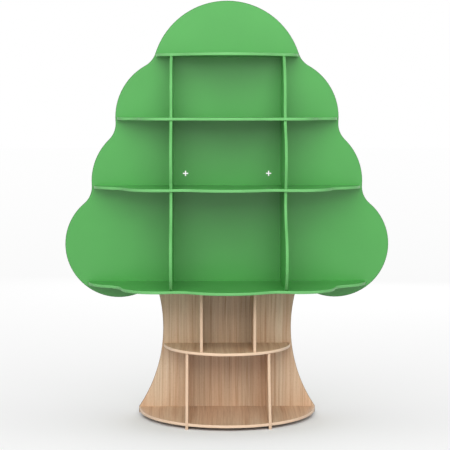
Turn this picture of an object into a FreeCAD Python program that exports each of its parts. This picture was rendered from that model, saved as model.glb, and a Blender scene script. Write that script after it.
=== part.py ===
import FreeCAD, Part
import math
import os
from types import SimpleNamespace

import Sketcher
from FreeCAD import Vector

# Tree-shaped bookcase in millimetres, +Z up, front towards -Y, origin on the floor under its middle.

SIZES = {
    # Boards and the strips glued to their edges
    "board": 12.0,
    "strip": 2.0,
    # Clear heights from the floor up, below and between the shelves
    "base_gap": 14.5,
    "lower_trunk_space": 271.0,
    "upper_trunk_space": 262.0,
    "bottom_space": 407.5,
    "middle_space": 283.5,
    "top_space": 259.5,
    # Outline of the crown's back panel: a dome over the top shelf and three lobes down each side
    "dome_rise": 230.0,
    "dome_radius": 326.0,
    "upper_lobe_x": 230.0,
    "upper_lobe_radius": 255.0,
    "middle_lobe_x": 338.0,
    "middle_lobe_rise": 18.0,
    "middle_lobe_radius": 252.0,
    "lower_lobe_x": 473.5,
    "lower_lobe_dip": 59.0,
    "lower_lobe_radius": 233.0,
    "lobe_hollow": 96.0,
    # Plan of the crown's shelves: a middle lobe, side lobes set back from it, end lobes and hollows
    "shelf_middle_radius": 270.0,
    "shelf_hollow": 104.0,
    "top_shelf_depth": 237.0,
    "top_side_x": 199.0,
    "top_side_setback": 99.0,
    "top_side_radius": 108.0,
    "second_shelf_depth": 282.0,
    "second_side_x": 258.0,
    "second_side_setback": 35.0,
    "second_side_radius": 122.0,
    "second_end_x": 366.0,
    "second_end_radius": 112.0,
    "third_shelf_depth": 347.0,
    "third_side_x": 295.0,
    "third_side_setback": 36.5,
    "third_side_radius": 147.0,
    "third_end_x": 433.0,
    "third_end_radius": 147.5,
    "bottom_shelf_depth": 413.0,
    "bottom_side_x": 301.0,
    "bottom_side_setback": 52.5,
    "bottom_side_radius": 152.5,
    "bottom_end_x": 444.0,
    "bottom_end_radius": 164.0,
    # Uprights of the crown: three bulges set back from the shelves' fronts, and slots for the shelves
    "upright_x": 239.0,
    "upright_head_setback": 1.5,
    "upper_bulge_drop": 183.0,
    "upper_bulge_radius": 220.0,
    "middle_bulge_rise": 107.0,
    "middle_bulge_setback": 20.0,
    "middle_bulge_radius": 170.0,
    "lower_bulge_rise": 127.0,
    "lower_bulge_setback": 3.0,
    "lower_bulge_radius": 148.0,
    "upright_hollow": 150.0,
    "second_slot": 120.0,
    "third_slot": 145.0,
    "slot_play": 0.1,
    # Cross-shaped slots for the wall screws
    "wall_slot_inset": 58.0,
    "wall_slot_rise": 51.5,
    "wall_slot_span": 23.0,
    "wall_slot_arm": 5.0,
    # Trunk
    "flare_radius": 632.0,
    "trunk_reveal": 3.0,
    "trunk_top_inset": 8.0,
    "plinth": 26.5,
    "base_shelf_radius": 385.0,
    "middle_shelf_radius": 278.0,
    "lower_divider_x": 174.5,
    "base_slot": 170.0,
    "upper_divider_x": 113.0,
    "upper_divider_setback": 10.0,
    "upper_divider_top": 262.0,
    # Screws through the back panels
    "screw_radius": 2.0,
    "screw_length": 36.0,
    "screw_head_radius": 4.0,
    "screw_head_height": 3.0,
    "screw_sink": 4.0,
    "screw_play": 0.1,
    "screw_tip_play": 1.0,
    "inner_screw_x": 120.0,
    "outer_screw_inset": 90.0,
    "middle_screw_inset": 58.0,
    "base_inner_screw_x": 90.0,
    "base_outer_screw_inset": 95.0,
    "divider_screw_inset": 70.0,
    # Dowels
    "dowel_radius": 3.0,
    "dowel_play": 0.05,
    "dowel_floor": 4.0,
    "dowel_in_edge": 18.0,
    "dowel_rear": 30.0,
    "dowel_front_inset": 55.0,
    "seam_dowel_depth": 20.0,
    "seam_dowel_x": 70.0,
    "seam_dowel_inset": 75.0,
}


class Dim:
    """A size with its number and its formula in the sheet."""

    def __init__(self, value, formula):
        self.value = value
        self.formula = formula

    def join(self, other, sign, value):
        return Dim(value, f"({self.formula} {sign} {other.formula})")

    def __add__(self, other):
        return self.join(other, "+", self.value + other.value)

    def __sub__(self, other):
        return self.join(other, "-", self.value - other.value)

    def __neg__(self):
        return Dim(-self.value, f"(-{self.formula})")

    def half(self):
        return Dim(self.value / 2, f"({self.formula} / 2)")


def leg(long_side, short_side):
    """The third side of a right triangle whose longest side is known."""
    formula = f"sqrt({long_side.formula}^2 - {short_side.formula}^2)"
    return Dim(math.sqrt(long_side.value**2 - short_side.value**2), formula)


def number(place):
    """The number of a place on an axis, where a plain 0 lies on the axis itself."""
    return place.value if isinstance(place, Dim) else 0.0


doc = FreeCAD.newDocument("TreeBookcase")
sheet = doc.addObject("Spreadsheet::Sheet", "Sizes")
for row, (alias, amount) in enumerate(SIZES.items(), 1):
    sheet.set(f"A{row}", alias)
    sheet.set(f"B{row}", str(amount))
    sheet.setAlias(f"B{row}", alias)
doc.recompute()
size = SimpleNamespace(**{alias: Dim(float(sheet.get(alias)), f"Sizes.{alias}") for alias in SIZES})


def toward(centre, target, distance):
    """The point at a distance from a centre on the way to a target."""
    return centre + (target - centre).normalize() * distance


def right_hand_point(first, second, first_reach, second_reach):
    """The point at two given distances from two points, to the right of the way between them."""
    way = second - first
    along = (way.Length**2 + first_reach**2 - second_reach**2) / (2 * way.Length)
    across = math.sqrt(first_reach**2 - along**2)
    unit = way / way.Length
    return first + unit * along + Vector(unit.y, -unit.x, 0) * across


def cut_point(centre, radius, cut):
    """Where a circle meets the line x = place or y = place, on its high or low side."""
    axis, place, side = cut
    if axis == "x":
        reach = math.sqrt(radius**2 - (number(place) - centre.x)**2)
        return Vector(number(place), centre.y + side * reach, 0)
    reach = math.sqrt(radius**2 - (number(place) - centre.y)**2)
    return Vector(centre.x + side * reach, number(place), 0)


class Outline:
    """A sketch on an origin plane of its body, bound to the sheet and drawn anticlockwise."""

    def __init__(self, body, plane, lift=None):
        self.sketch = body.newObject("Sketcher::SketchObject", f"{body.Name}_outline")
        self.sketch.AttachmentSupport = [(origin_plane(body, plane), "")]
        self.sketch.MapMode = "FlatFace"
        if lift:
            self.sketch.setExpression("AttachmentOffset.Base.z", lift.formula)

    def tie(self, kind, *items):
        return self.sketch.addConstraint(Sketcher.Constraint(kind, *items))

    def bind(self, kind, *items):
        """A constraint whose last item is a size."""
        index = self.tie(kind, *items[:-1], items[-1].value)
        self.sketch.setExpression(f"Constraints[{index}]", items[-1].formula)

    def put(self, point, x, y):
        """Place a point; None leaves a direction free and 0 puts the point on the axis."""
        for kind, axis, place in (("DistanceX", -2, x), ("DistanceY", -1, y)):
            if place is None:
                continue
            if not isinstance(place, Dim):
                self.tie("PointOnObject", *point, axis)
            elif place.value > 0:
                self.bind(kind, -1, 1, *point, place)
            else:
                self.bind(kind, *point, -1, 1, -place)

    def put_on_cut(self, point, cut):
        """Keep a point on the line x = place or y = place."""
        axis, place, side = cut
        if axis == "x":
            self.put(point, place, None)
        else:
            self.put(point, None, place)

    def line(self, start, end):
        """A straight edge; returns its two ends."""
        geo = self.sketch.addGeometry(Part.LineSegment(start, end))
        return (geo, 1), (geo, 2)

    def arc(self, centre, radius, start, end, turn):
        """An arc from start to end, anticlockwise for turn 1 and clockwise for -1; returns its ends."""
        angles = [math.atan2(point.y - centre.y, point.x - centre.x) for point in (start, end)]
        circle = Part.Circle(centre, Vector(0, 0, 1), radius.value)
        geo = self.sketch.addGeometry(Part.ArcOfCircle(circle, *angles[::turn]))
        self.bind("Radius", geo, radius)
        return ((geo, 1), (geo, 2))[::turn]

    def close(self, end, start, *corners):
        """Straight edges from one edge's end, by way of corners, to another's start."""
        points = [Vector(number(x), number(y), 0) for x, y in corners]
        points = [self.sketch.getPoint(*end), *points, self.sketch.getPoint(*start)]
        for index, (here, there) in enumerate(zip(points, points[1:])):
            first, last = self.line(here, there)
            self.tie("Coincident", *end, *first)
            if index < len(corners):
                self.put(last, *corners[index])
            end = last
        self.tie("Coincident", *end, *start)

    def chain(self, lobes, hollow, first_cut, last_cut, inset=None):
        """Round lobes in a row, joined by hollows and set in from the outline; returns the two ends.

        A lobe is the x and y of its centre and its radius. The cuts end the first and last lobes.
        """
        if inset:
            lobes = [(x, y, radius - inset) for x, y, radius in lobes]
            hollow = hollow + inset
        centres = [Vector(number(x), number(y), 0) for x, y, radius in lobes]
        radii = [radius for x, y, radius in lobes]
        enter = cut_point(centres[0], radii[0].value, first_cut)
        ends = []
        for index, (x, y, radius) in enumerate(lobes):
            centre = centres[index]
            is_last = index == len(lobes) - 1
            if is_last:
                leave = cut_point(centre, radius.value, last_cut)
            else:
                reaches = [item.value + hollow.value for item in radii[index:index + 2]]
                dip = right_hand_point(centre, centres[index + 1], *reaches)
                leave = toward(centre, dip, radius.value)
            ends.append(self.arc(centre, radius, enter, leave, 1))
            self.put((ends[-1][0][0], 3), x, y)
            if not is_last:
                enter = toward(centres[index + 1], dip, radii[index + 1].value)
                ends.append(self.arc(dip, hollow, leave, enter, -1))
        for before, after in zip(ends, ends[1:]):
            self.tie("Tangent", *before[1], *after[0])
        self.put_on_cut(ends[0][0], first_cut)
        self.put_on_cut(ends[-1][1], last_cut)
        return ends[0][0], ends[-1][1]

    def bow(self, start, end, radius):
        """A hollow arc between two places; returns its ends."""
        here, there = [Vector(number(x), number(y), 0) for x, y in (start, end)]
        centre = right_hand_point(here, there, radius.value, radius.value)
        ends = self.arc(centre, radius, here, there, -1)
        self.put(ends[0], *start)
        self.put(ends[1], *end)
        return ends

    def inner_bow(self, outer, radius, first_cut, last_cut):
        """A hollow arc about the centre of another one, ended by two cuts; returns its ends."""
        outer_geo = outer[0][0]
        centre = self.sketch.Geometry[outer_geo].Center
        points = [cut_point(centre, radius.value, cut) for cut in (first_cut, last_cut)]
        ends = self.arc(centre, radius, *points, -1)
        self.tie("Coincident", ends[0][0], 3, outer_geo, 3)
        self.put_on_cut(ends[0], first_cut)
        self.put_on_cut(ends[1], last_cut)
        return ends

    def half_circle(self, radius):
        """A half circle in front of the origin; returns its ends."""
        left, right = Vector(-radius.value, 0, 0), Vector(radius.value, 0, 0)
        ends = self.arc(Vector(0, 0, 0), radius, left, right, 1)
        self.tie("Coincident", ends[0][0], 3, -1, 1)
        for end in ends:
            self.put(end, None, 0)
        return ends

    def rectangle(self, left, right, low, high):
        """A rectangle between two x places and two y places."""
        places = [(left, low), (right, low), (right, high), (left, high)]
        points = [Vector(number(x), number(y), 0) for x, y in places]
        edges = [self.line(points[index - 1], points[index]) for index in range(4)]
        for index, (start, end) in enumerate(edges):
            self.tie("Coincident", *edges[index - 1][1], *start)
            self.tie(("Vertical", "Horizontal")[index % 2], start[0])
        self.put(edges[1][0], left, low)
        self.put(edges[3][0], right, high)

    def circles(self, places, radius):
        """Equal circles centred on a list of places."""
        for x, y in places:
            circle = Part.Circle(Vector(number(x), number(y), 0), Vector(0, 0, 1), radius.value)
            geo = self.sketch.addGeometry(circle)
            self.put((geo, 3), x, y)
            self.bind("Radius", geo, radius)


def origin_plane(body, role):
    """A body's own origin plane."""
    return next(feature for feature in body.Origin.OriginFeatures if feature.Role == role)


def new_body(label, x, y, z):
    """A body named for its piece and placed by sizes, where a plain 0 is no offset."""
    body = doc.addObject("PartDesign::Body", label)
    body.Label = label
    for axis, place in zip("xyz", (x, y, z)):
        if isinstance(place, Dim):
            body.setExpression(f"Placement.Base.{axis}", place.formula)
    return body


def pad(body, outline, length, side="One side", reverse=False):
    """Raise an outline by a length."""
    feature = body.newObject("PartDesign::Pad", f"{body.Name}_pad")
    feature.Profile = outline.sketch
    feature.SideType = side
    feature.Reversed = reverse
    feature.setExpression("Length", length.formula)
    body.Tip = feature
    return feature


def cut(body, outline, depth=None, reverse=False):
    """Cut an outline to a depth, or right through both ways."""
    feature = body.newObject("PartDesign::Pocket", f"{body.Name}_cut")
    feature.Profile = outline.sketch
    feature.Reversed = reverse
    if depth:
        feature.setExpression("Length", depth.formula)
    else:
        feature.Type = "ThroughAll"
        feature.SideType = "Symmetric"
    body.Tip = feature


def mirror(body, feature):
    """Repeat a right-hand half on the left."""
    twin = body.newObject("PartDesign::Mirrored", f"{body.Name}_mirror")
    twin.Originals = [feature]
    twin.MirrorPlane = (origin_plane(body, "YZ_Plane"), [""])
    body.Tip = twin


def drill(body, plane, places, radius, depth=None, lift=None, reverse=False):
    """Round holes at a list of places."""
    outline = Outline(body, plane, lift)
    outline.circles(places, radius)
    cut(body, outline, depth, reverse)


def both_sides(*places):
    """Places on the right and their twins on the left."""
    return [(side, y) for x, y in places for side in (x, -x)]


def side_spans(middle, half_width):
    """Spans about a place on the right and its twin on the left."""
    return (middle - half_width, middle + half_width), (-middle - half_width, half_width - middle)


def notch(body, plane, spans, low, high):
    """Slots right through a board, each between two x places."""
    outline = Outline(body, plane)
    for left, right in spans:
        outline.rectangle(left, right, low, high)
    cut(body, outline)


# Places that several pieces share
panel_y = (size.bottom_shelf_depth - size.board).half()
base_shelf_z = size.base_gap + size.board
middle_underside = base_shelf_z + size.lower_trunk_space
middle_shelf_z = middle_underside + size.board
crown_floor = middle_shelf_z + size.upper_trunk_space
bottom_shelf_z = crown_floor + size.board
third_shelf_z = bottom_shelf_z + size.bottom_space + size.board
second_shelf_z = third_shelf_z + size.middle_space + size.board
upright_top = second_shelf_z + size.top_space
top_shelf_z = upright_top + size.board
upright_height = upright_top - bottom_shelf_z
slot_gap = size.board.half() + size.slot_play
flare_inset = size.flare_radius + size.strip
pilot_radius = size.screw_radius + size.screw_play
pilot_depth = size.screw_length - size.board + size.screw_sink + size.screw_tip_play
dowel_hole = size.dowel_radius + size.dowel_play
dowel_in_shelf = size.board - size.dowel_floor
dowel_length = dowel_in_shelf + size.dowel_in_edge


def shelf_lobes(depth, side_x, side_setback, side_radius, *end):
    """Lobes of a crown shelf's right half, from the middle outwards."""
    middle = (0, size.shelf_middle_radius - depth, size.shelf_middle_radius)
    side = (side_x, side_setback + side_radius - depth, side_radius)
    if not end:
        return [middle, side]
    end_x, end_radius = end
    return [middle, side, (end_x, 0, end_radius)]


SHELF_CUTS = (("x", 0, -1), ("y", 0, 1))


def crown_shelf_edging(label, top_z, lobes):
    """Strip round a crown shelf's front edge."""
    body = new_body(f"{label}_edging", 0, panel_y, top_z - size.board)
    outline = Outline(body, "XY_Plane")
    outer = outline.chain(lobes, size.shelf_hollow, *SHELF_CUTS)
    inner = outline.chain(lobes, size.shelf_hollow, *SHELF_CUTS, inset=size.strip)
    outline.close(outer[1], inner[1])
    outline.close(inner[0], outer[0])
    mirror(body, pad(body, outline, size.board))


def crown_shelf(label, top_z, lobes, screw_x, slot=None):
    """A crown shelf with pilot holes behind and, where an upright crosses it, slots behind."""
    body = new_body(label, 0, panel_y, top_z - size.board)
    outline = Outline(body, "XY_Plane")
    start, end = outline.chain(lobes, size.shelf_hollow, *SHELF_CUTS, inset=size.strip)
    outline.close(end, start, (0, 0))
    mirror(body, pad(body, outline, size.board))
    if slot:
        notch(body, "XY_Plane", side_spans(size.upright_x, slot_gap), -slot, 0)
    places = both_sides(*[(x, size.board.half()) for x in screw_x])
    drill(body, "XZ_Plane", places, pilot_radius, pilot_depth, reverse=True)
    crown_shelf_edging(label, top_z, lobes)
    return body


def outer_screw_x(end_x, end_radius):
    """Place of the screw near a crown shelf's end."""
    return end_x + end_radius - size.outer_screw_inset


# Crown shelves
top_lobes = shelf_lobes(size.top_shelf_depth, size.top_side_x, size.top_side_setback,
                        size.top_side_radius)
second_lobes = shelf_lobes(size.second_shelf_depth, size.second_side_x, size.second_side_setback,
                           size.second_side_radius, size.second_end_x, size.second_end_radius)
third_lobes = shelf_lobes(size.third_shelf_depth, size.third_side_x, size.third_side_setback,
                          size.third_side_radius, size.third_end_x, size.third_end_radius)
bottom_lobes = shelf_lobes(size.bottom_shelf_depth, size.bottom_side_x, size.bottom_side_setback,
                           size.bottom_side_radius, size.bottom_end_x, size.bottom_end_radius)
second_screws = [size.inner_screw_x, outer_screw_x(size.second_end_x, size.second_end_radius)]
third_screws = [size.inner_screw_x, outer_screw_x(size.third_end_x, size.third_end_radius)]
bottom_screws = [size.inner_screw_x, outer_screw_x(size.bottom_end_x, size.bottom_end_radius)]

top_shelf = crown_shelf("crown_top_shelf", top_shelf_z, top_lobes, [size.inner_screw_x])
crown_shelf("crown_second_shelf", second_shelf_z, second_lobes, second_screws, size.second_slot)
crown_shelf("crown_third_shelf", third_shelf_z, third_lobes, third_screws, size.third_slot)
bottom_shelf = crown_shelf("crown_bottom_shelf", bottom_shelf_z, bottom_lobes, bottom_screws)

# Front edges of the uprights and the trunk's dividers
top_side_y = size.top_shelf_depth - size.top_side_setback - size.top_side_radius
top_edge_at_upright = top_side_y + leg(size.top_side_radius, size.upright_x - size.top_side_x)
upright_head_front = top_edge_at_upright - size.upright_head_setback
upper_bulge_y = upright_head_front - leg(size.upper_bulge_radius, size.upper_bulge_drop)
middle_bulge_y = size.third_shelf_depth - size.middle_bulge_setback - size.middle_bulge_radius
lower_bulge_y = size.bottom_shelf_depth - size.lower_bulge_setback - size.lower_bulge_radius
upright_foot_front = lower_bulge_y + leg(size.lower_bulge_radius, size.lower_bulge_rise)
middle_edge_at_upper = leg(size.middle_shelf_radius, size.upper_divider_x + size.board.half())
upper_foot_front = middle_edge_at_upper - size.upper_divider_setback
lower_top_front = leg(size.middle_shelf_radius, size.lower_divider_x + size.board.half())
lower_foot_front = leg(size.base_shelf_radius, size.lower_divider_x - size.board.half())


def dowel_pair(x, front):
    """Places of a board's rear and front dowels."""
    return [(x, -size.dowel_rear), (x, size.dowel_front_inset - front)]


# Dowels of the uprights and of the dividers, and their holes in the crown's shelves
foot_dowels = dowel_pair(size.upright_x, upright_foot_front)
head_dowels = dowel_pair(size.upright_x, upright_head_front)
upper_dowels = dowel_pair(size.upper_divider_x, upper_foot_front)
lower_dowels = dowel_pair(size.lower_divider_x, lower_top_front)
drill(top_shelf, "XY_Plane", both_sides(*head_dowels), dowel_hole, dowel_in_shelf, reverse=True)
drill(bottom_shelf, "XY_Plane", both_sides(*foot_dowels), dowel_hole, dowel_in_shelf,
      lift=size.board)
drill(bottom_shelf, "XY_Plane", both_sides(*upper_dowels), dowel_hole, dowel_in_shelf, reverse=True)

# Uprights of the crown, drawn from the side with the foot at the bottom shelf's top
bulges = [
    (-upper_bulge_y, upright_height - size.upper_bulge_drop, size.upper_bulge_radius),
    (-middle_bulge_y, third_shelf_z - bottom_shelf_z + size.middle_bulge_rise, size.middle_bulge_radius),
    (-lower_bulge_y, size.lower_bulge_rise, size.lower_bulge_radius),
]
UPRIGHT_CUTS = (("y", upright_height, -1), ("y", 0, -1))
tier_heights = [
    size.bottom_space.half(),
    third_shelf_z - bottom_shelf_z + size.middle_space.half(),
    second_shelf_z - bottom_shelf_z + size.top_space.half(),
]


def shelf_notches(body):
    """Slots in an upright's front for the second and third shelves."""
    for shelf_z, slot in ((second_shelf_z, size.second_slot), (third_shelf_z, size.third_slot)):
        level = shelf_z - bottom_shelf_z
        span = (-size.bottom_shelf_depth, -slot)
        notch(body, "YZ_Plane", [span], level - size.board - size.slot_play, level + size.slot_play)


def crown_upright(label, x):
    """An upright and the strip on its front edge, which the crossing shelves break."""
    body = new_body(label, x, panel_y, bottom_shelf_z)
    outline = Outline(body, "YZ_Plane")
    start, end = outline.chain(bulges, size.upright_hollow, *UPRIGHT_CUTS, inset=size.strip)
    outline.close(end, start, (0, 0), (0, upright_height))
    pad(body, outline, size.board, side="Symmetric")
    shelf_notches(body)
    drill(body, "XZ_Plane", [(0, z) for z in tier_heights], pilot_radius, pilot_depth, reverse=True)
    drill(body, "XY_Plane", [(0, y) for x, y in foot_dowels], dowel_hole, size.dowel_in_edge, reverse=True)
    drill(body, "XY_Plane", [(0, y) for x, y in head_dowels], dowel_hole, size.dowel_in_edge,
          lift=upright_height)

    edging = new_body(f"{label}_edging", x, panel_y, bottom_shelf_z)
    outline = Outline(edging, "YZ_Plane")
    outer = outline.chain(bulges, size.upright_hollow, *UPRIGHT_CUTS)
    inner = outline.chain(bulges, size.upright_hollow, *UPRIGHT_CUTS, inset=size.strip)
    outline.close(outer[1], inner[1])
    outline.close(inner[0], outer[0])
    pad(edging, outline, size.board, side="Symmetric")
    shelf_notches(edging)


for side_name, upright_x in (("left", -size.upright_x), ("right", size.upright_x)):
    crown_upright(f"crown_upright_{side_name}", upright_x)


# Back panels
lower_lobe_z = crown_floor - size.lower_lobe_dip + size.lower_lobe_radius
crown_lobes = [
    (size.lower_lobe_x, lower_lobe_z, size.lower_lobe_radius),
    (size.middle_lobe_x, third_shelf_z + size.middle_lobe_rise, size.middle_lobe_radius),
    (size.upper_lobe_x, second_shelf_z, size.upper_lobe_radius),
    (0, top_shelf_z + size.dome_rise - size.dome_radius, size.dome_radius),
]
crown_floor_half = size.lower_lobe_x - leg(size.lower_lobe_radius, lower_lobe_z - crown_floor)
trunk_top_half = crown_floor_half - size.trunk_top_inset
CROWN_CUTS = (("y", crown_floor, -1), ("x", 0, 1))
crown_screws = both_sides(
    (size.inner_screw_x, top_shelf_z - size.board.half()),
    *[(x, second_shelf_z - size.board.half()) for x in second_screws],
    *[(x, third_shelf_z - size.board.half()) for x in third_screws],
    *[(x, bottom_shelf_z - size.board.half()) for x in bottom_screws],
    *[(size.upright_x, bottom_shelf_z + z) for z in tier_heights],
)
seam_dowels = both_sides((size.seam_dowel_x, size.board.half()),
                         (trunk_top_half - size.seam_dowel_inset, size.board.half()))


def screw_holes(body, places):
    """Holes through a back panel with sunk seats for the screw heads behind."""
    drill(body, "XZ_Plane", places, pilot_radius)
    seat_radius = size.screw_head_radius + size.screw_play
    drill(body, "XZ_Plane", places, seat_radius, size.screw_sink, lift=-size.board, reverse=True)


def wall_slots(body):
    """Two cross-shaped slots for the wall screws."""
    slot_x = size.upright_x - size.wall_slot_inset
    slot_z = third_shelf_z + size.wall_slot_rise
    long, short = size.wall_slot_span.half(), size.wall_slot_arm.half()
    for half_width, half_height in ((long, short), (short, long)):
        spans = side_spans(slot_x, half_width)
        notch(body, "XZ_Plane", spans, slot_z - half_height, slot_z + half_height)


def crown_back():
    """The crown's back panel and the strip round it."""
    body = new_body("crown_back_panel", 0, panel_y, 0)
    outline = Outline(body, "XZ_Plane")
    start, end = outline.chain(crown_lobes, size.lobe_hollow, *CROWN_CUTS, inset=size.strip)
    outline.close(end, start, (0, crown_floor))
    mirror(body, pad(body, outline, size.board, reverse=True))
    wall_slots(body)
    screw_holes(body, crown_screws)
    drill(body, "XY_Plane", seam_dowels, dowel_hole, size.seam_dowel_depth, lift=crown_floor, reverse=True)

    edging = new_body("crown_back_edging", 0, panel_y, 0)
    outline = Outline(edging, "XZ_Plane")
    outer = outline.chain(crown_lobes, size.lobe_hollow, *CROWN_CUTS)
    inner = outline.chain(crown_lobes, size.lobe_hollow, *CROWN_CUTS, inset=size.strip)
    outline.close(outer[1], inner[1])
    outline.close(inner[0], outer[0])
    mirror(edging, pad(edging, outline, size.board, reverse=True))


crown_back()

# Trunk
trunk_base_half = size.base_shelf_radius + size.trunk_reveal
trunk_wall = trunk_base_half - size.strip
middle_screw_x = size.middle_shelf_radius - size.middle_screw_inset
base_outer_screw_x = size.base_shelf_radius - size.base_outer_screw_inset
middle_screws = [(0, middle_shelf_z - size.board.half()),
                 *both_sides((middle_screw_x, middle_shelf_z - size.board.half()))]
base_screws = both_sides((size.base_inner_screw_x, base_shelf_z - size.board.half()),
                         (base_outer_screw_x, base_shelf_z - size.board.half()))
upper_screw_heights = [size.divider_screw_inset, size.upper_trunk_space - size.divider_screw_inset]
lower_screw_heights = [base_shelf_z + size.divider_screw_inset,
                       middle_underside - size.divider_screw_inset]
divider_screws = both_sides(
    *[(size.upper_divider_x, middle_shelf_z + z) for z in upper_screw_heights],
    *[(size.lower_divider_x, z) for z in lower_screw_heights],
)
trunk_screws = middle_screws + base_screws + divider_screws


def trunk_back():
    """The trunk's back panel and the strips down its flared sides."""
    foot = (trunk_base_half, size.plinth)
    head = (trunk_top_half, crown_floor)
    inner_cuts = (("x", trunk_wall, -1), ("y", crown_floor, -1))
    body = new_body("trunk_back_panel", 0, panel_y, 0)
    outline = Outline(body, "XZ_Plane")
    outer = outline.bow(foot, head, size.flare_radius)
    outline.sketch.setConstruction(outer[0][0], True)
    start, end = outline.inner_bow(outer, flare_inset, *inner_cuts)
    outline.close(end, start, (0, crown_floor), (0, 0), (trunk_wall, 0))
    mirror(body, pad(body, outline, size.board, reverse=True))
    screw_holes(body, trunk_screws)
    drill(body, "XY_Plane", seam_dowels, dowel_hole, size.seam_dowel_depth, lift=crown_floor)

    edging = new_body("trunk_back_edging", 0, panel_y, 0)
    outline = Outline(edging, "XZ_Plane")
    outer = outline.bow(foot, head, size.flare_radius)
    inner = outline.inner_bow(outer, flare_inset, *inner_cuts)
    outline.close(outer[1], inner[1])
    outline.close(inner[0], outer[0], (trunk_wall, 0), (trunk_base_half, 0))
    mirror(edging, pad(edging, outline, size.board, reverse=True))


def round_shelf(label, top_z, radius, screw_x):
    """A half-round shelf and the strip on its front edge; returns both bodies."""
    board = new_body(label, 0, panel_y, top_z - size.board)
    outline = Outline(board, "XY_Plane")
    start, end = outline.half_circle(radius - size.strip)
    outline.close(end, start)
    pad(board, outline, size.board)
    places = [(x, size.board.half()) for x in screw_x]
    drill(board, "XZ_Plane", places, pilot_radius, pilot_depth, reverse=True)

    edging = new_body(f"{label}_edging", 0, panel_y, top_z - size.board)
    outline = Outline(edging, "XY_Plane")
    outer = outline.half_circle(radius)
    inner = outline.half_circle(radius - size.strip)
    outline.close(outer[1], inner[1])
    outline.close(inner[0], outer[0])
    pad(edging, outline, size.board)
    return board, edging


def divider(label, x, foot_z, height, top_front, foot_front, plinth=None):
    """A trunk divider with a hollow front edge, upright below the plinth, and its strip."""
    top = (-top_front, height)
    foot = (-foot_front, plinth or 0)
    wall = size.strip - foot_front
    foot_cut = ("x", wall, -1) if plinth else ("y", 0, 1)
    inner_cuts = (("y", height, 1), foot_cut)
    board_corners = [(wall, 0)] if plinth else []
    strip_corners = [(-foot_front, 0), (wall, 0)] if plinth else []

    board = new_body(label, x, panel_y, foot_z)
    outline = Outline(board, "YZ_Plane")
    outer = outline.bow(top, foot, size.flare_radius)
    outline.sketch.setConstruction(outer[0][0], True)
    start, end = outline.inner_bow(outer, flare_inset, *inner_cuts)
    outline.close(end, start, *board_corners, (0, 0), (0, height))
    pad(board, outline, size.board, side="Symmetric")

    edging = new_body(f"{label}_edging", x, panel_y, foot_z)
    outline = Outline(edging, "YZ_Plane")
    outer = outline.bow(top, foot, size.flare_radius)
    inner = outline.inner_bow(outer, flare_inset, *inner_cuts)
    outline.close(outer[1], inner[1], *strip_corners)
    outline.close(inner[0], outer[0])
    pad(edging, outline, size.board, side="Symmetric")
    return board


def upper_divider(label, x):
    """A divider between the trunk's middle shelf and the crown."""
    height = size.upper_trunk_space
    board = divider(label, x, middle_shelf_z, height, size.upper_divider_top, upper_foot_front)
    drill(board, "XZ_Plane", [(0, z) for z in upper_screw_heights], pilot_radius, pilot_depth, reverse=True)
    places = [(0, y) for x, y in upper_dowels]
    drill(board, "XY_Plane", places, dowel_hole, size.dowel_in_edge, reverse=True)
    drill(board, "XY_Plane", places, dowel_hole, size.dowel_in_edge, lift=height)


def lower_divider(label, x):
    """A divider that stands on the floor, slotted behind for the base shelf."""
    board = divider(label, x, 0, middle_underside, lower_top_front, lower_foot_front, size.plinth)
    low = base_shelf_z - size.board - size.slot_play
    notch(board, "YZ_Plane", [(-size.base_slot, 0)], low, base_shelf_z + size.slot_play)
    drill(board, "XZ_Plane", [(0, z) for z in lower_screw_heights], pilot_radius, pilot_depth, reverse=True)
    places = [(0, y) for x, y in lower_dowels]
    drill(board, "XY_Plane", places, dowel_hole, size.dowel_in_edge, lift=middle_underside)


def trunk_shelves():
    """The half-round middle and base shelves, with the base slotted for the lower dividers."""
    middle_x = [x for x, z in middle_screws]
    board, edging = round_shelf("trunk_middle_shelf", middle_shelf_z, size.middle_shelf_radius, middle_x)
    drill(board, "XY_Plane", both_sides(*upper_dowels), dowel_hole, dowel_in_shelf, lift=size.board)
    drill(board, "XY_Plane", both_sides(*lower_dowels), dowel_hole, dowel_in_shelf, reverse=True)

    base_x = [x for x, z in base_screws]
    for piece in round_shelf("trunk_base_shelf", base_shelf_z, size.base_shelf_radius, base_x):
        spans = side_spans(size.lower_divider_x, slot_gap)
        notch(piece, "XY_Plane", spans, -size.base_shelf_radius, -size.base_slot)


trunk_back()
trunk_shelves()
for side_name, upper_x, lower_x in (("left", -size.upper_divider_x, -size.lower_divider_x),
                                    ("right", size.upper_divider_x, size.lower_divider_x)):
    upper_divider(f"trunk_upper_divider_{side_name}", upper_x)
    lower_divider(f"trunk_lower_divider_{side_name}", lower_x)


def screws(label, places):
    """Screws through a back panel, their heads seated below its rear face."""
    body = new_body(label, 0, panel_y, 0)
    seat = size.screw_sink - size.board
    shanks = Outline(body, "XZ_Plane", seat)
    shanks.circles(places, size.screw_radius)
    pad(body, shanks, size.screw_length)
    heads = Outline(body, "XZ_Plane", seat)
    heads.circles(places, size.screw_head_radius)
    pad(body, heads, size.screw_head_height, reverse=True)


def dowels(label, rows):
    """Upright dowels; a row is their places, the height of their lower ends and their length."""
    body = new_body(label, 0, panel_y, 0)
    for places, low, length in rows:
        outline = Outline(body, "XY_Plane", low)
        outline.circles(places, size.dowel_radius)
        pad(body, outline, length)


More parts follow.
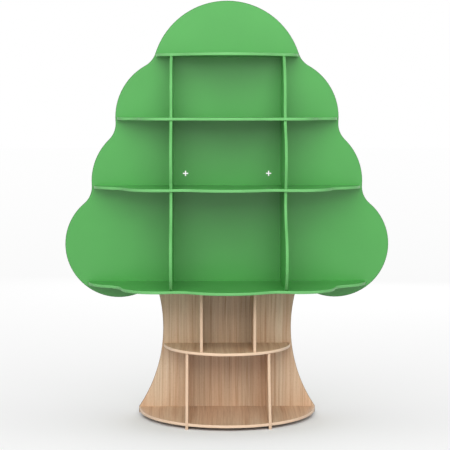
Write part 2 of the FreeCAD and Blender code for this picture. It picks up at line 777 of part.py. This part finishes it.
screws("crown_back_screws", crown_screws)
screws("trunk_back_screws", trunk_screws)
dowels("crown_upright_dowels", [
    (both_sides(*foot_dowels), bottom_shelf_z - dowel_in_shelf, dowel_length),
    (both_sides(*head_dowels), upright_top - size.dowel_in_edge, dowel_length),
])
dowels("trunk_divider_dowels", [
    (both_sides(*upper_dowels), crown_floor - size.dowel_in_edge, dowel_length),
    (both_sides(*upper_dowels), middle_shelf_z - dowel_in_shelf, dowel_length),
    (both_sides(*lower_dowels), middle_underside - size.dowel_in_edge, dowel_length),
])
dowels("crown_to_trunk_dowels", [
    (seam_dowels, crown_floor - size.seam_dowel_depth, size.seam_dowel_depth + size.seam_dowel_depth),
])


def check_model(bodies):
    """Stop if anything failed to build or a cut took nothing away."""
    for item in doc.Objects:
        if "Invalid" in item.State or "Error" in item.State:
            raise RuntimeError(f"{item.Label} failed: {item.State}")
        if item.TypeId == "PartDesign::Pocket":
            if item.Shape.Volume >= item.BaseFeature.Shape.Volume:
                raise RuntimeError(f"{item.Label} cuts nothing")
    for body in bodies:
        if body.Shape.isNull() or not body.Shape.isValid() or not body.Shape.Solids:
            raise RuntimeError(f"{body.Label} has no sound solid")


doc.recompute()
pieces = [item for item in doc.Objects if item.TypeId == "PartDesign::Body"]
check_model(pieces)
os.makedirs("parts", exist_ok=True)
for piece in pieces:
    piece.Shape.exportStep(f"parts/{piece.Label}.step")
    box = piece.Shape.BoundBox
    spans = ", ".join(f"{low:.1f} to {high:.1f}" for low, high in (
        (box.XMin, box.XMax), (box.YMin, box.YMax), (box.ZMin, box.ZMax)))
    print(f"{piece.Label}: {len(piece.Shape.Solids)} solids, {piece.Shape.Volume:.0f} mm3, {spans}")
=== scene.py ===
import math

import bmesh
import bpy
from mathutils.bvhtree import BVHTree
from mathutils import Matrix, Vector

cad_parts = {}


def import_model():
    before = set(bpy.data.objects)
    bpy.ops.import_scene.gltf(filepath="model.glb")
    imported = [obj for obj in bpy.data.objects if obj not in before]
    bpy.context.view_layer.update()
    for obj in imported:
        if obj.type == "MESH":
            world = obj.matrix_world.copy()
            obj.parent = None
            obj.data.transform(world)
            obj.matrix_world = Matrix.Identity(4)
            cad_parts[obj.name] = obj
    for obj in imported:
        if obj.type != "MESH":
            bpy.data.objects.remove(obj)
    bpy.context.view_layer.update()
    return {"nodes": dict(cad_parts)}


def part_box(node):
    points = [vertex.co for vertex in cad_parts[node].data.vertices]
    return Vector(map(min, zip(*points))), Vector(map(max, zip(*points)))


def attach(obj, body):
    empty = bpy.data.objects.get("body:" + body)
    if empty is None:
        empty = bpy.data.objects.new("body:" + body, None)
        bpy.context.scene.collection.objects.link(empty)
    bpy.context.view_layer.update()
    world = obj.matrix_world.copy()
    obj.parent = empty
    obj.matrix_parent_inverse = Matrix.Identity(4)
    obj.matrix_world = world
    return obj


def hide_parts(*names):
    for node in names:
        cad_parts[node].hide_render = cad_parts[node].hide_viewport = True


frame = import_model()
nodes = frame["nodes"]

# Tones of each finish from deep to pale, written as 8-bit screen values
GREEN = ((71, 158, 71), (75, 164, 75))
# Painted highlight: the green edging strips are toned paler than the boards. This is partly a paler band and
# partly a stand-in for the highlight on their rounded fronts. The upright strips are toned darker than the
# shelf strips as painted shade.
GREEN_SHELF_STRIP_PAINTED_LIGHT = ((107, 181, 106), (122, 192, 121))
GREEN_UPRIGHT_STRIP_PAINTED_LIGHT = ((98, 174, 97), (113, 186, 112))
# Painted shade: the crown's back panel rim is toned darker than the boards, to stand in for the dark line of
# shade round the outline
GREEN_RIM_PAINTED_SHADE = ((50, 108, 52), (60, 120, 62))
OAK = ((190, 150, 117), (214, 187, 158), (225, 201, 173), (234, 218, 197))
# Painted highlight: the oak edging strips are toned paler than the boards. This is partly a paler edge and
# partly a stand-in for the highlight on their rounded fronts. The upright strips are toned darker than the
# shelf strips as painted shade.
OAK_SHELF_STRIP_PAINTED_LIGHT = ((232, 198, 166), (249, 223, 198))
OAK_UPRIGHT_STRIP_PAINTED_LIGHT = ((212, 179, 150), (227, 200, 174))
# Painted shade: the trunk's back panel rim is toned darker than the boards, to stand in for the dark line of
# shade round the outline
OAK_RIM_PAINTED_SHADE = ((158, 128, 102), (184, 152, 124))
BEECH = ((196, 160, 122), (218, 186, 150))
STEEL = ((150, 151, 152), (192, 192, 190))

# Painted shade on the oak's level boards, by channel: it darkens the shelves to stand in for the shade on
# their tops
NO_SHADE = (1.0, 1.0, 1.0)
OAK_LEVEL_PAINTED_SHADE = (0.94, 0.91, 0.895)

# Tints that multiply the oak's tones
WHITE = (1.0, 1.0, 1.0, 1.0)
OAK_BAND_DEEP = (0.97, 0.9, 0.84, 1.0)
OAK_BAND_PALE = (0.97, 1.0, 1.0, 1.0)
OAK_FIBRE_DEEP = (0.95, 0.9, 0.86, 1.0)
OAK_PORE_DEEP = (0.7, 0.58, 0.48, 1.0)

# Oak grain: how far it sways, in metres, and the scale of its streaks and pores along their run
OAK_SWAY = (0.02, 0.02, 0.02)
STREAK_STRETCH = 0.015
PORE_STRETCH = 0.05

# Fine lines of the strips: their scale along each axis
ALONG_SHELF = (9.0, 9.0, 700.0)
ALONG_UPRIGHT = (700.0, 700.0, 9.0)

# Roughness of the strips and dowels, lowest and highest
GREEN_STRIP_ROUGHNESS = (0.28, 0.4)
GREEN_RIM_ROUGHNESS = (0.4, 0.55)
OAK_STRIP_ROUGHNESS = (0.34, 0.46)
OAK_RIM_ROUGHNESS = (0.42, 0.56)
BEECH_ROUGHNESS = (0.5, 0.62)

# Sheen of the laminate and of the edging strips
BOARD_SHINE = 0.8
STRIP_SHINE = 0.2

# Sockets of a colour mix: its factor, its two colours and its result
MIX_FACTOR = 0
MIX_FIRST = 6
MIX_SECOND = 7
MIX_RESULT = 2

# Edging strips, in metres: their thickness and the rounding of their outer corners
STRIP = 0.002
STRIP_ROUND = 0.0018
ROUND_STEPS = 4
ROUND_PROFILE = 0.5

# How a strip's faces are told apart: flat sides by their lean, its outer wall by its distance from the board
FLAT_SIDE_LEAN = 0.5
OUTER_WALL_GAP = 0.75 * STRIP

# Meshes: corners this close are one, faces this level are one side, and edges sharper than this stay sharp
WELD_GAP = 1e-6
FLAT_ANGLE = math.radians(0.1)
SHARP_ANGLE = math.radians(38)

# Screws in the back panels, in metres; the rim of a head in shares of its radius and height
HEAD_RADIUS = 0.004
HEAD_HEIGHT = 0.003
HEAD_SIDES = 32
HEAD_RIM = ((0.96, 0.0), (1.0, 0.1), (1.0, 0.5), (0.94, 0.76))
HEAD_TOP_RADIUS = 0.0031
HEAD_TOP_DROP = 0.0003
SCREW_REACH = 3 * HEAD_RADIUS
SCREW_TURN = 2.4
CROSS_ARMS = 4
CROSS_REACH = 0.0021
CROSS_HALF = 0.0005
CROSS_DEPTH = 0.0016
CROSS_TAPER = 0.6
THREAD_RADIUS = 0.002
THREAD_ROOT = 0.0015
THREAD_PITCH = 0.0024
THREAD_SIDES = 12
THREAD_ROWS_A_TURN = 3
TIP_LENGTH = 0.005
TIP_RADIUS = 0.0004

# Floor: half its width, the ellipse that the object stands on, how the shadow fades, and its tones
FLOOR_HALF = 40.0
FOOT_HALF_WIDE = 0.4
FOOT_HALF_DEEP = 0.22
FLOOR_FALL = 0.9
FLOOR_PALE = 0.88
FLOOR_BOUNCE = 0.5
FLOOR_ROUGHNESS = 0.8
FLOOR_SHINE = 0.2

# Light: the sky's strength, and the side lamps' distance from the middle
SKY = 0.2
SIDE_LAMP_X = 4.2

# Camera: where it stands, how it is turned in degrees, and its lens in millimetres
CAMERA_PLACE = (-0.1115, -5.9832, 1.3475)
CAMERA_DIP = 4.793
CAMERA_TURN = -0.948
LENS = 113.62
SENSOR = 36.0


def tone(colour, shade=NO_SHADE):
    """A colour in 8-bit screen values, as the linear values that a shader takes."""

    def linear(value):
        share = value / 255
        return share / 12.92 if share <= 0.04045 else ((share + 0.055) / 1.055) ** 2.4

    return (*[linear(value * part) for value, part in zip(colour, shade)], 1.0)


def grey(value):
    """A grey in linear values."""
    return (value, value, value, 1.0)


def start(name):
    """A new material, its node tree and its surface shader."""
    made = bpy.data.materials.new(name)
    made.use_nodes = True
    return made, made.node_tree, made.node_tree.nodes["Principled BSDF"]


def node(tree, kind, inputs=None, **settings):
    """A node with its settings and its inputs, each one a value or another node's output."""
    made = tree.nodes.new(kind)
    for name, value in settings.items():
        setattr(made, name, value)
    for name, value in (inputs or {}).items():
        if isinstance(value, bpy.types.NodeSocket):
            tree.links.new(value, made.inputs[name])
        else:
            made.inputs[name].default_value = value
    return made


def place_of(tree):
    """The place on the object, in metres."""
    return node(tree, "ShaderNodeTexCoord").outputs["Object"]


def noise(tree, place, scale, detail=2.0, roughness=0.5):
    """Cloudy noise between 0 and 1."""
    inputs = {"Vector": place, "Scale": scale, "Detail": detail, "Roughness": roughness}
    return node(tree, "ShaderNodeTexNoise", inputs).outputs[0]


def stretched(tree, place, scale):
    """The place drawn out by a different scale along each axis."""
    inputs = {"Vector": place, "Scale": scale}
    return node(tree, "ShaderNodeMapping", inputs).outputs[0]


def ramp(tree, factor, *stops):
    """A colour ramp through (position, colour) stops."""
    made = node(tree, "ShaderNodeValToRGB", {"Fac": factor})
    steps = made.color_ramp.elements
    while len(steps) < len(stops):
        steps.new(0.5)
    for step, (position, colour) in zip(steps, stops):
        step.position = position
        step.color = colour
    return made.outputs[0]


def spread(tree, factor, low, high, start_at=0.3, end_at=0.7):
    """A value between start_at and end_at spread from low to high."""
    inputs = {"Value": factor, "From Min": start_at, "From Max": end_at, "To Min": low, "To Max": high}
    return node(tree, "ShaderNodeMapRange", inputs).outputs[0]


def blended(tree, mode, factor, first, second):
    """Two colours mixed in the given way."""
    inputs = {MIX_FACTOR: factor, MIX_FIRST: first, MIX_SECOND: second}
    return node(tree, "ShaderNodeMix", inputs, data_type="RGBA", blend_type=mode).outputs[MIX_RESULT]


def tinted(tree, colour, *tints):
    """A colour multiplied by each tint in turn."""
    for tint in tints:
        colour = blended(tree, "MULTIPLY", 1.0, colour, tint)
    return colour


def bump(tree, height, depth, strength, below=None):
    """Relief of a depth in metres, laid over the relief below it."""
    inputs = {"Height": height, "Distance": depth, "Strength": strength}
    if below is not None:
        inputs["Normal"] = below
    return node(tree, "ShaderNodeBump", inputs).outputs[0]


def calculated(tree, operation, first, second):
    """The result of an operation on two numbers."""
    return node(tree, "ShaderNodeMath", {0: first, 1: second}, operation=operation).outputs[0]


def dress(tree, shader, colour, roughness, relief):
    """Gives a surface its colour, roughness and relief."""
    tree.links.new(colour, shader.inputs["Base Color"])
    tree.links.new(roughness, shader.inputs["Roughness"])
    tree.links.new(relief, shader.inputs["Normal"])


# Materials
def green_board():
    """Green laminate: faint clouding, a fine pearl emboss and an even satin."""
    made, tree, shader = start("green_board")
    place = place_of(tree)
    clouds = noise(tree, place, scale=5.0, detail=3.0)
    pearl = noise(tree, place, scale=1100.0, roughness=0.6)
    peel = noise(tree, place, scale=320.0, detail=1.0)
    handled = noise(tree, place, scale=16.0, detail=4.0, roughness=0.6)
    deep, fresh = GREEN
    colour = ramp(tree, clouds, (0.25, tone(deep)), (0.75, tone(fresh)))
    specks = ramp(tree, pearl, (0.3, grey(0.94)), (0.7, WHITE))
    roughness = spread(tree, handled, low=0.31, high=0.35)
    waves = bump(tree, peel, depth=0.00006, strength=0.4)
    relief = bump(tree, pearl, depth=0.00008, strength=0.5, below=waves)
    dress(tree, shader, tinted(tree, colour, specks), roughness, relief)
    shader.inputs["Specular IOR Level"].default_value = BOARD_SHINE
    return made


def strip(name, tones, run_scale, roughness_range):
    """Edging strip: fine lines along its run, smoother than the boards."""
    made, tree, shader = start(name)
    place = place_of(tree)
    lines = noise(tree, stretched(tree, place, run_scale), scale=1.0, detail=3.0, roughness=0.6)
    patches = noise(tree, place, scale=24.0, detail=3.0)
    deep, pale = tones
    colour = ramp(tree, lines, (0.3, tone(deep)), (0.7, tone(pale)))
    worn = ramp(tree, patches, (0.35, grey(0.96)), (0.65, WHITE))
    roughness = spread(tree, patches, *roughness_range)
    relief = bump(tree, lines, depth=0.00005, strength=0.4)
    dress(tree, shader, tinted(tree, colour, worn), roughness, relief)
    shader.inputs["Specular IOR Level"].default_value = STRIP_SHINE
    return made


def grain_scale(grain, stretch):
    """A scale along each axis that draws a pattern out along the grain."""
    return [stretch if axis == grain else 1.0 for axis in "xyz"]


def swayed(tree, place):
    """The place moved gently to and fro, so that the grain isn't ruled straight."""
    drift = node(tree, "ShaderNodeTexNoise", {"Vector": place, "Scale": 2.2, "Detail": 1.0}).outputs["Color"]
    inputs = {0: drift, 1: OAK_SWAY, 2: place}
    return node(tree, "ShaderNodeVectorMath", inputs, operation="MULTIPLY_ADD").outputs[0]


def oak_board(name, grain, shade=NO_SHADE):
    """Oak laminate: swaying streaks along the grain, broad bands, and short dark pores."""
    made, tree, shader = start(name)
    place = place_of(tree)
    along = stretched(tree, swayed(tree, place), grain_scale(grain, STREAK_STRETCH))
    pitted = stretched(tree, place, grain_scale(grain, PORE_STRETCH))
    streaks = noise(tree, along, scale=105.0, detail=5.0, roughness=0.66)
    bands = noise(tree, along, scale=15.0)
    fibres = noise(tree, along, scale=520.0, detail=3.0, roughness=0.6)
    pores = noise(tree, pitted, scale=1900.0, detail=1.0)
    # A shade below one darkens every tone; the level boards get it as painted shade
    brown, tan, honey, pale = [tone(colour, shade) for colour in OAK]
    colour = ramp(tree, streaks, (0.3, brown), (0.46, tan), (0.58, honey), (0.75, pale))
    broad = ramp(tree, bands, (0.35, OAK_BAND_DEEP), (0.65, OAK_BAND_PALE))
    threads = ramp(tree, fibres, (0.35, OAK_FIBRE_DEEP), (0.65, WHITE))
    pits = ramp(tree, pores, (0.3, OAK_PORE_DEEP), (0.38, WHITE))
    roughness = spread(tree, streaks, low=0.42, high=0.3)
    hollows = bump(tree, pores, depth=0.00012, strength=0.5)
    relief = bump(tree, streaks, depth=0.0002, strength=0.3, below=hollows)
    dress(tree, shader, tinted(tree, colour, broad, threads, pits), roughness, relief)
    shader.inputs["Specular IOR Level"].default_value = BOARD_SHINE
    return made


def steel():
    """Zinc-plated steel: cloudy plating with fine turning marks."""
    made, tree, shader = start("screw_steel")
    place = place_of(tree)
    plating = noise(tree, place, scale=900.0, detail=4.0, roughness=0.6)
    marks = noise(tree, place, scale=5200.0)
    deep, pale = STEEL
    colour = ramp(tree, plating, (0.3, tone(deep)), (0.7, tone(pale)))
    roughness = spread(tree, plating, low=0.3, high=0.46)
    dress(tree, shader, colour, roughness, bump(tree, marks, depth=0.00003, strength=0.4))
    shader.inputs["Metallic"].default_value = 1.0
    return made


green = green_board()
# Edging strips toned with painted highlight; the upright ones also carry painted shade
green_shelf_strip_painted_light = strip("green_edging_level", GREEN_SHELF_STRIP_PAINTED_LIGHT, ALONG_SHELF, GREEN_STRIP_ROUGHNESS)
green_upright_strip_painted_light = strip("green_edging_upright", GREEN_UPRIGHT_STRIP_PAINTED_LIGHT, ALONG_UPRIGHT, GREEN_STRIP_ROUGHNESS)
# The crown's rim takes the darker tone of painted shade
green_rim_painted_shade = strip("green_edging_rim", GREEN_RIM_PAINTED_SHADE, ALONG_UPRIGHT, GREEN_RIM_ROUGHNESS)
oak_upright = oak_board("oak_board_upright", "z")
# Level boards: grain along their depth, and painted shade that darkens their tops
oak_level_painted_shade = oak_board("oak_board_level", "y", OAK_LEVEL_PAINTED_SHADE)
# Oak edging strips toned with painted highlight; the upright ones also carry painted shade
oak_shelf_strip_painted_light = strip("oak_edging_level", OAK_SHELF_STRIP_PAINTED_LIGHT, ALONG_SHELF, OAK_STRIP_ROUGHNESS)
oak_upright_strip_painted_light = strip("oak_edging_upright", OAK_UPRIGHT_STRIP_PAINTED_LIGHT, ALONG_UPRIGHT, OAK_STRIP_ROUGHNESS)
# The trunk's rim takes the darker tone of painted shade
oak_rim_painted_shade = strip("oak_edging_rim", OAK_RIM_PAINTED_SHADE, ALONG_UPRIGHT, OAK_RIM_ROUGHNESS)
beech = strip("dowel_beech", BEECH, ALONG_UPRIGHT, BEECH_ROUGHNESS)
zinc = steel()


def finish_of(name):
    """The material of a node, by what its name says it is."""
    if name.endswith("_screws"):
        return zinc
    if name.endswith("_dowels"):
        return beech
    crown = name.startswith("crown")
    # The back panels' rims take the darker tone of painted shade
    if name.endswith("_back_edging"):
        return green_rim_painted_shade if crown else oak_rim_painted_shade
    level = "shelf" in name
    # Shelf and upright strips are lit and shaded copies of one edging, toned with painted light
    if name.endswith("_edging"):
        if crown:
            return green_shelf_strip_painted_light if level else green_upright_strip_painted_light
        return oak_shelf_strip_painted_light if level else oak_upright_strip_painted_light
    if crown:
        return green
    return oak_level_painted_shade if level else oak_upright


for name, piece in nodes.items():
    piece.data.materials.clear()
    piece.data.materials.append(finish_of(name))


def stand_in(form, name, ending):
    """Makes a mesh form into the piece that stands for a node."""
    mesh = bpy.data.meshes.new(name + ending)
    form.to_mesh(mesh)
    form.free()
    mesh.materials.append(finish_of(name))
    mesh.shade_smooth()
    mesh.set_sharp_from_angle(angle=SHARP_ANGLE)
    made = bpy.data.objects.new(name + ending, mesh)
    bpy.context.scene.collection.objects.link(made)
    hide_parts(name)
    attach(made, "root")


# Edging strips
def copy_of(mesh):
    """A node's form with its split corners joined and its flat sides whole."""
    form = bmesh.new()
    points = [form.verts.new(vertex.co) for vertex in mesh.vertices]
    for face in mesh.polygons:
        form.faces.new([points[index] for index in face.vertices])
    bmesh.ops.remove_doubles(form, verts=form.verts, dist=WELD_GAP)
    bmesh.ops.dissolve_limit(form, angle_limit=FLAT_ANGLE, verts=form.verts, edges=form.edges)
    return form


def surface_of(mesh):
    """A mesh's surface, ready to be asked for its nearest point."""
    points = [vertex.co for vertex in mesh.vertices]
    faces = [face.vertices for face in mesh.polygons]
    return BVHTree.FromPolygons(points, faces)


def outer_corners(form, board, across):
    """The edges where a strip's outer wall meets its two flat sides."""
    surface = surface_of(board.data)
    walls = set()
    sides = set()
    for face in form.faces:
        gap = surface.find_nearest(face.calc_center_median())[-1]
        if abs(face.normal[across]) > FLAT_SIDE_LEAN:
            sides.add(face)
        elif gap > OUTER_WALL_GAP:
            walls.add(face)
    return [edge for edge in form.edges if walls & set(edge.link_faces) and sides & set(edge.link_faces)]


def thickness_axis(name):
    """The axis across a board's thickness: 0 for x, 1 for y and 2 for z."""
    if "_back_" in name:
        return 1
    return 2 if "shelf" in name else 0


def rounded_strip(name):
    """An edging strip with its two outer corners rounded."""
    board = nodes[name.replace("_edging", "_panel" if "_back_" in name else "")]
    form = copy_of(nodes[name].data)
    corners = outer_corners(form, board, thickness_axis(name))
    bmesh.ops.bevel(form, geom=corners, affect="EDGES", offset=STRIP_ROUND, segments=ROUND_STEPS,
                    profile=ROUND_PROFILE)
    stand_in(form, name, "_rounded")


for name in nodes:
    if name.endswith("_edging"):
        rounded_strip(name)


# Screws
def screw_axes(name):
    """The middle of each screw in a node, as x and z."""
    groups = []
    for vertex in nodes[name].data.vertices:
        spot = (vertex.co.x, vertex.co.z)
        home = next((group for group in groups if math.dist(group[0], spot) < SCREW_REACH), None)
        if home is None:
            groups.append([spot])
        else:
            home.append(spot)
    return [tuple((min(side) + max(side)) / 2 for side in zip(*group)) for group in groups]


def circle(form, radius, y, sides):
    """A loop of points round the screw's own axis; radius is a number or a function of the angle."""
    points = []
    for index in range(sides):
        angle = 2 * math.pi * index / sides
        reach = radius(angle) if callable(radius) else radius
        points.append(form.verts.new((reach * math.cos(angle), y, reach * math.sin(angle))))
    return points


def skin(form, loops):
    """Faces between each loop and the next, and over the first one."""
    form.faces.new(loops[0])
    for low, high in zip(loops, loops[1:]):
        count = len(low)
        for index in range(count):
            after = (index + 1) % count
            form.faces.new((low[index], high[index], high[after], low[after]))


def cross_loop(form, y, scale, turn):
    """The twelve corners of the driver's cross."""
    corners = []
    for arm in range(CROSS_ARMS):
        angle = turn + arm * 2 * math.pi / CROSS_ARMS
        for out, side in ((CROSS_REACH, -CROSS_HALF), (CROSS_REACH, CROSS_HALF), (CROSS_HALF, CROSS_HALF)):
            x = scale * (out * math.cos(angle) - side * math.sin(angle))
            z = scale * (out * math.sin(angle) + side * math.cos(angle))
            corners.append(form.verts.new((x, y, z)))
    return corners


def edges_of(form, loop):
    """The edges along a closed loop of points."""
    return [form.edges.get(pair) or form.edges.new(pair) for pair in zip(loop, loop[1:] + loop[:1])]


def screw_head(form, seat, turn):
    """Pan head with a rounded rim and a cross recess, standing on its seat."""
    top = seat + HEAD_HEIGHT
    rim = [(HEAD_RADIUS * out, seat + HEAD_HEIGHT * up) for out, up in HEAD_RIM]
    rim.append((HEAD_TOP_RADIUS, top - HEAD_TOP_DROP))
    loops = [circle(form, radius, y, HEAD_SIDES) for radius, y in rim]
    skin(form, loops)
    mouth = cross_loop(form, top, 1.0, turn)
    pit = cross_loop(form, top - CROSS_DEPTH, CROSS_TAPER, turn)
    bmesh.ops.bridge_loops(form, edges=edges_of(form, loops[-1]) + edges_of(form, mouth))
    bmesh.ops.bridge_loops(form, edges=edges_of(form, mouth) + edges_of(form, pit))
    form.faces.new(pit)


def screw_shank(form, tip, seat):
    """Threaded shank: one spiral ridge that runs out at the pointed tip."""
    rows = round((seat - tip) / THREAD_PITCH * THREAD_ROWS_A_TURN)
    loops = []
    for row in range(rows + 1):
        up = (seat - tip) * row / rows
        slim = min(1.0, up / TIP_LENGTH)

        def ridge(angle, up=up, slim=slim):
            phase = (up / THREAD_PITCH - angle / (2 * math.pi)) % 1.0
            thread = THREAD_ROOT + (THREAD_RADIUS - THREAD_ROOT) * abs(2 * phase - 1)
            return TIP_RADIUS + (thread - TIP_RADIUS) * slim

        loops.append(circle(form, ridge, tip + up, THREAD_SIDES))
    skin(form, loops)
    form.faces.new(list(reversed(loops[-1])))


def screw_set(name):
    """All the screws of a node, each one turned differently in its hole."""
    low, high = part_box(name)
    seat = high.y - HEAD_HEIGHT
    whole = bmesh.new()
    for index, (x, z) in enumerate(screw_axes(name)):
        before = len(whole.verts)
        screw_head(whole, seat, index * SCREW_TURN)
        screw_shank(whole, low.y, seat)
        whole.verts.ensure_lookup_table()
        bmesh.ops.translate(whole, verts=whole.verts[before:], vec=(x, 0, z))
    bmesh.ops.recalc_face_normals(whole, faces=whole.faces)
    stand_in(whole, name, "_turned")


for name in nodes:
    if name.endswith("_screws"):
        screw_set(name)


# Floor
def shown_to_eye(tree):
    """One for what the camera, a reflection or clear material shows, nought for bounced light."""
    path = node(tree, "ShaderNodeLightPath").outputs
    seen = calculated(tree, "MAXIMUM", path["Is Camera Ray"], path["Is Glossy Ray"])
    return calculated(tree, "MAXIMUM", seen, path["Is Transmission Ray"])


def floor_material():
    """White studio floor that takes the shadow near the object and pales to white far from it."""
    made, tree, shader = start("studio_floor")
    place = place_of(tree)
    rings = stretched(tree, place, (1 / FOOT_HALF_WIDE, 1 / FOOT_HALF_DEEP, 0.0))
    away = node(tree, "ShaderNodeVectorMath", {0: rings}, operation="LENGTH").outputs["Value"]
    near = calculated(tree, "POWER", away, -FLOOR_FALL)
    fade = spread(tree, near, low=1.0, high=0.0, start_at=0.0, end_at=1.0)
    shown = shown_to_eye(tree)
    share = calculated(tree, "MULTIPLY", fade, shown)
    colour = blended(tree, "MIX", shown, grey(FLOOR_BOUNCE), grey(FLOOR_PALE))
    tree.links.new(colour, shader.inputs["Base Color"])
    shader.inputs["Roughness"].default_value = FLOOR_ROUGHNESS
    shader.inputs["Specular IOR Level"].default_value = FLOOR_SHINE
    white = node(tree, "ShaderNodeEmission", {"Color": WHITE, "Strength": 1.0}).outputs[0]
    mixed = node(tree, "ShaderNodeMixShader", {0: share, 1: shader.outputs[0], 2: white}).outputs[0]
    tree.links.new(mixed, tree.nodes["Material Output"].inputs["Surface"])
    return made


def floor():
    """A level square under the object."""
    mesh = bpy.data.meshes.new("studio_floor")
    half = FLOOR_HALF
    corners = [(-half, -half, 0), (half, -half, 0), (half, half, 0), (-half, half, 0)]
    mesh.from_pydata(corners, [], [(0, 1, 2, 3)])
    mesh.materials.append(floor_material())
    made = bpy.data.objects.new("studio_floor", mesh)
    bpy.context.scene.collection.objects.link(made)
    return made


floor()


# Light
def lamp(name, place, target, wide, tall, power):
    """A soft rectangular lamp that faces its target."""
    data = bpy.data.lights.new(name, "AREA")
    data.shape = "RECTANGLE"
    data.size = wide
    data.size_y = tall
    data.energy = power
    made = bpy.data.objects.new(name, data)
    made.location = place
    made.visible_camera = False
    made.visible_glossy = False
    aim = [to - at for to, at in zip(target, place)]
    flat = math.hypot(aim[0], aim[1])
    made.rotation_euler = (math.atan2(flat, -aim[2]), 0, math.atan2(-aim[0], aim[1]))
    bpy.context.scene.collection.objects.link(made)


def world():
    """White surroundings that light the object only faintly."""
    made = bpy.data.worlds.new("studio_world")
    bpy.context.scene.world = made
    made.use_nodes = True
    tree = made.node_tree
    strength = spread(tree, shown_to_eye(tree), low=SKY, high=1.0, start_at=0.0, end_at=1.0)
    tree.links.new(strength, tree.nodes["Background"].inputs["Strength"])
    tree.nodes["Background"].inputs["Color"].default_value = WHITE


lamp("key_light", place=(-0.2, -4.0, 3.4), target=(0.0, 0.0, 0.95), wide=5.0, tall=3.2, power=213.0)
for name, x in (("left_light", -SIDE_LAMP_X), ("right_light", SIDE_LAMP_X)):
    lamp(name, place=(x, -2.4, 1.9), target=(0.0, 0.0, 1.0), wide=2.4, tall=2.4, power=40.0)
lamp("back_light", place=(0.6, 4.8, 1.5), target=(0.0, 0.0, 0.9), wide=4.0, tall=2.0, power=105.0)
lamp("fill_light", place=(0.0, -6.6, 1.5), target=(0.0, 0.0, 0.9), wide=5.0, tall=2.4, power=45.0)
world()


# Camera
def camera():
    """The camera, a little above the object's middle and tilted down."""
    data = bpy.data.cameras.new("camera")
    data.sensor_width = SENSOR
    data.lens = LENS
    made = bpy.data.objects.new("camera", data)
    made.location = CAMERA_PLACE
    made.rotation_euler = (math.radians(90 - CAMERA_DIP), 0, math.radians(CAMERA_TURN))
    bpy.context.scene.collection.objects.link(made)
    bpy.context.scene.camera = made


camera()
bpy.context.scene.view_settings.view_transform = "Standard"
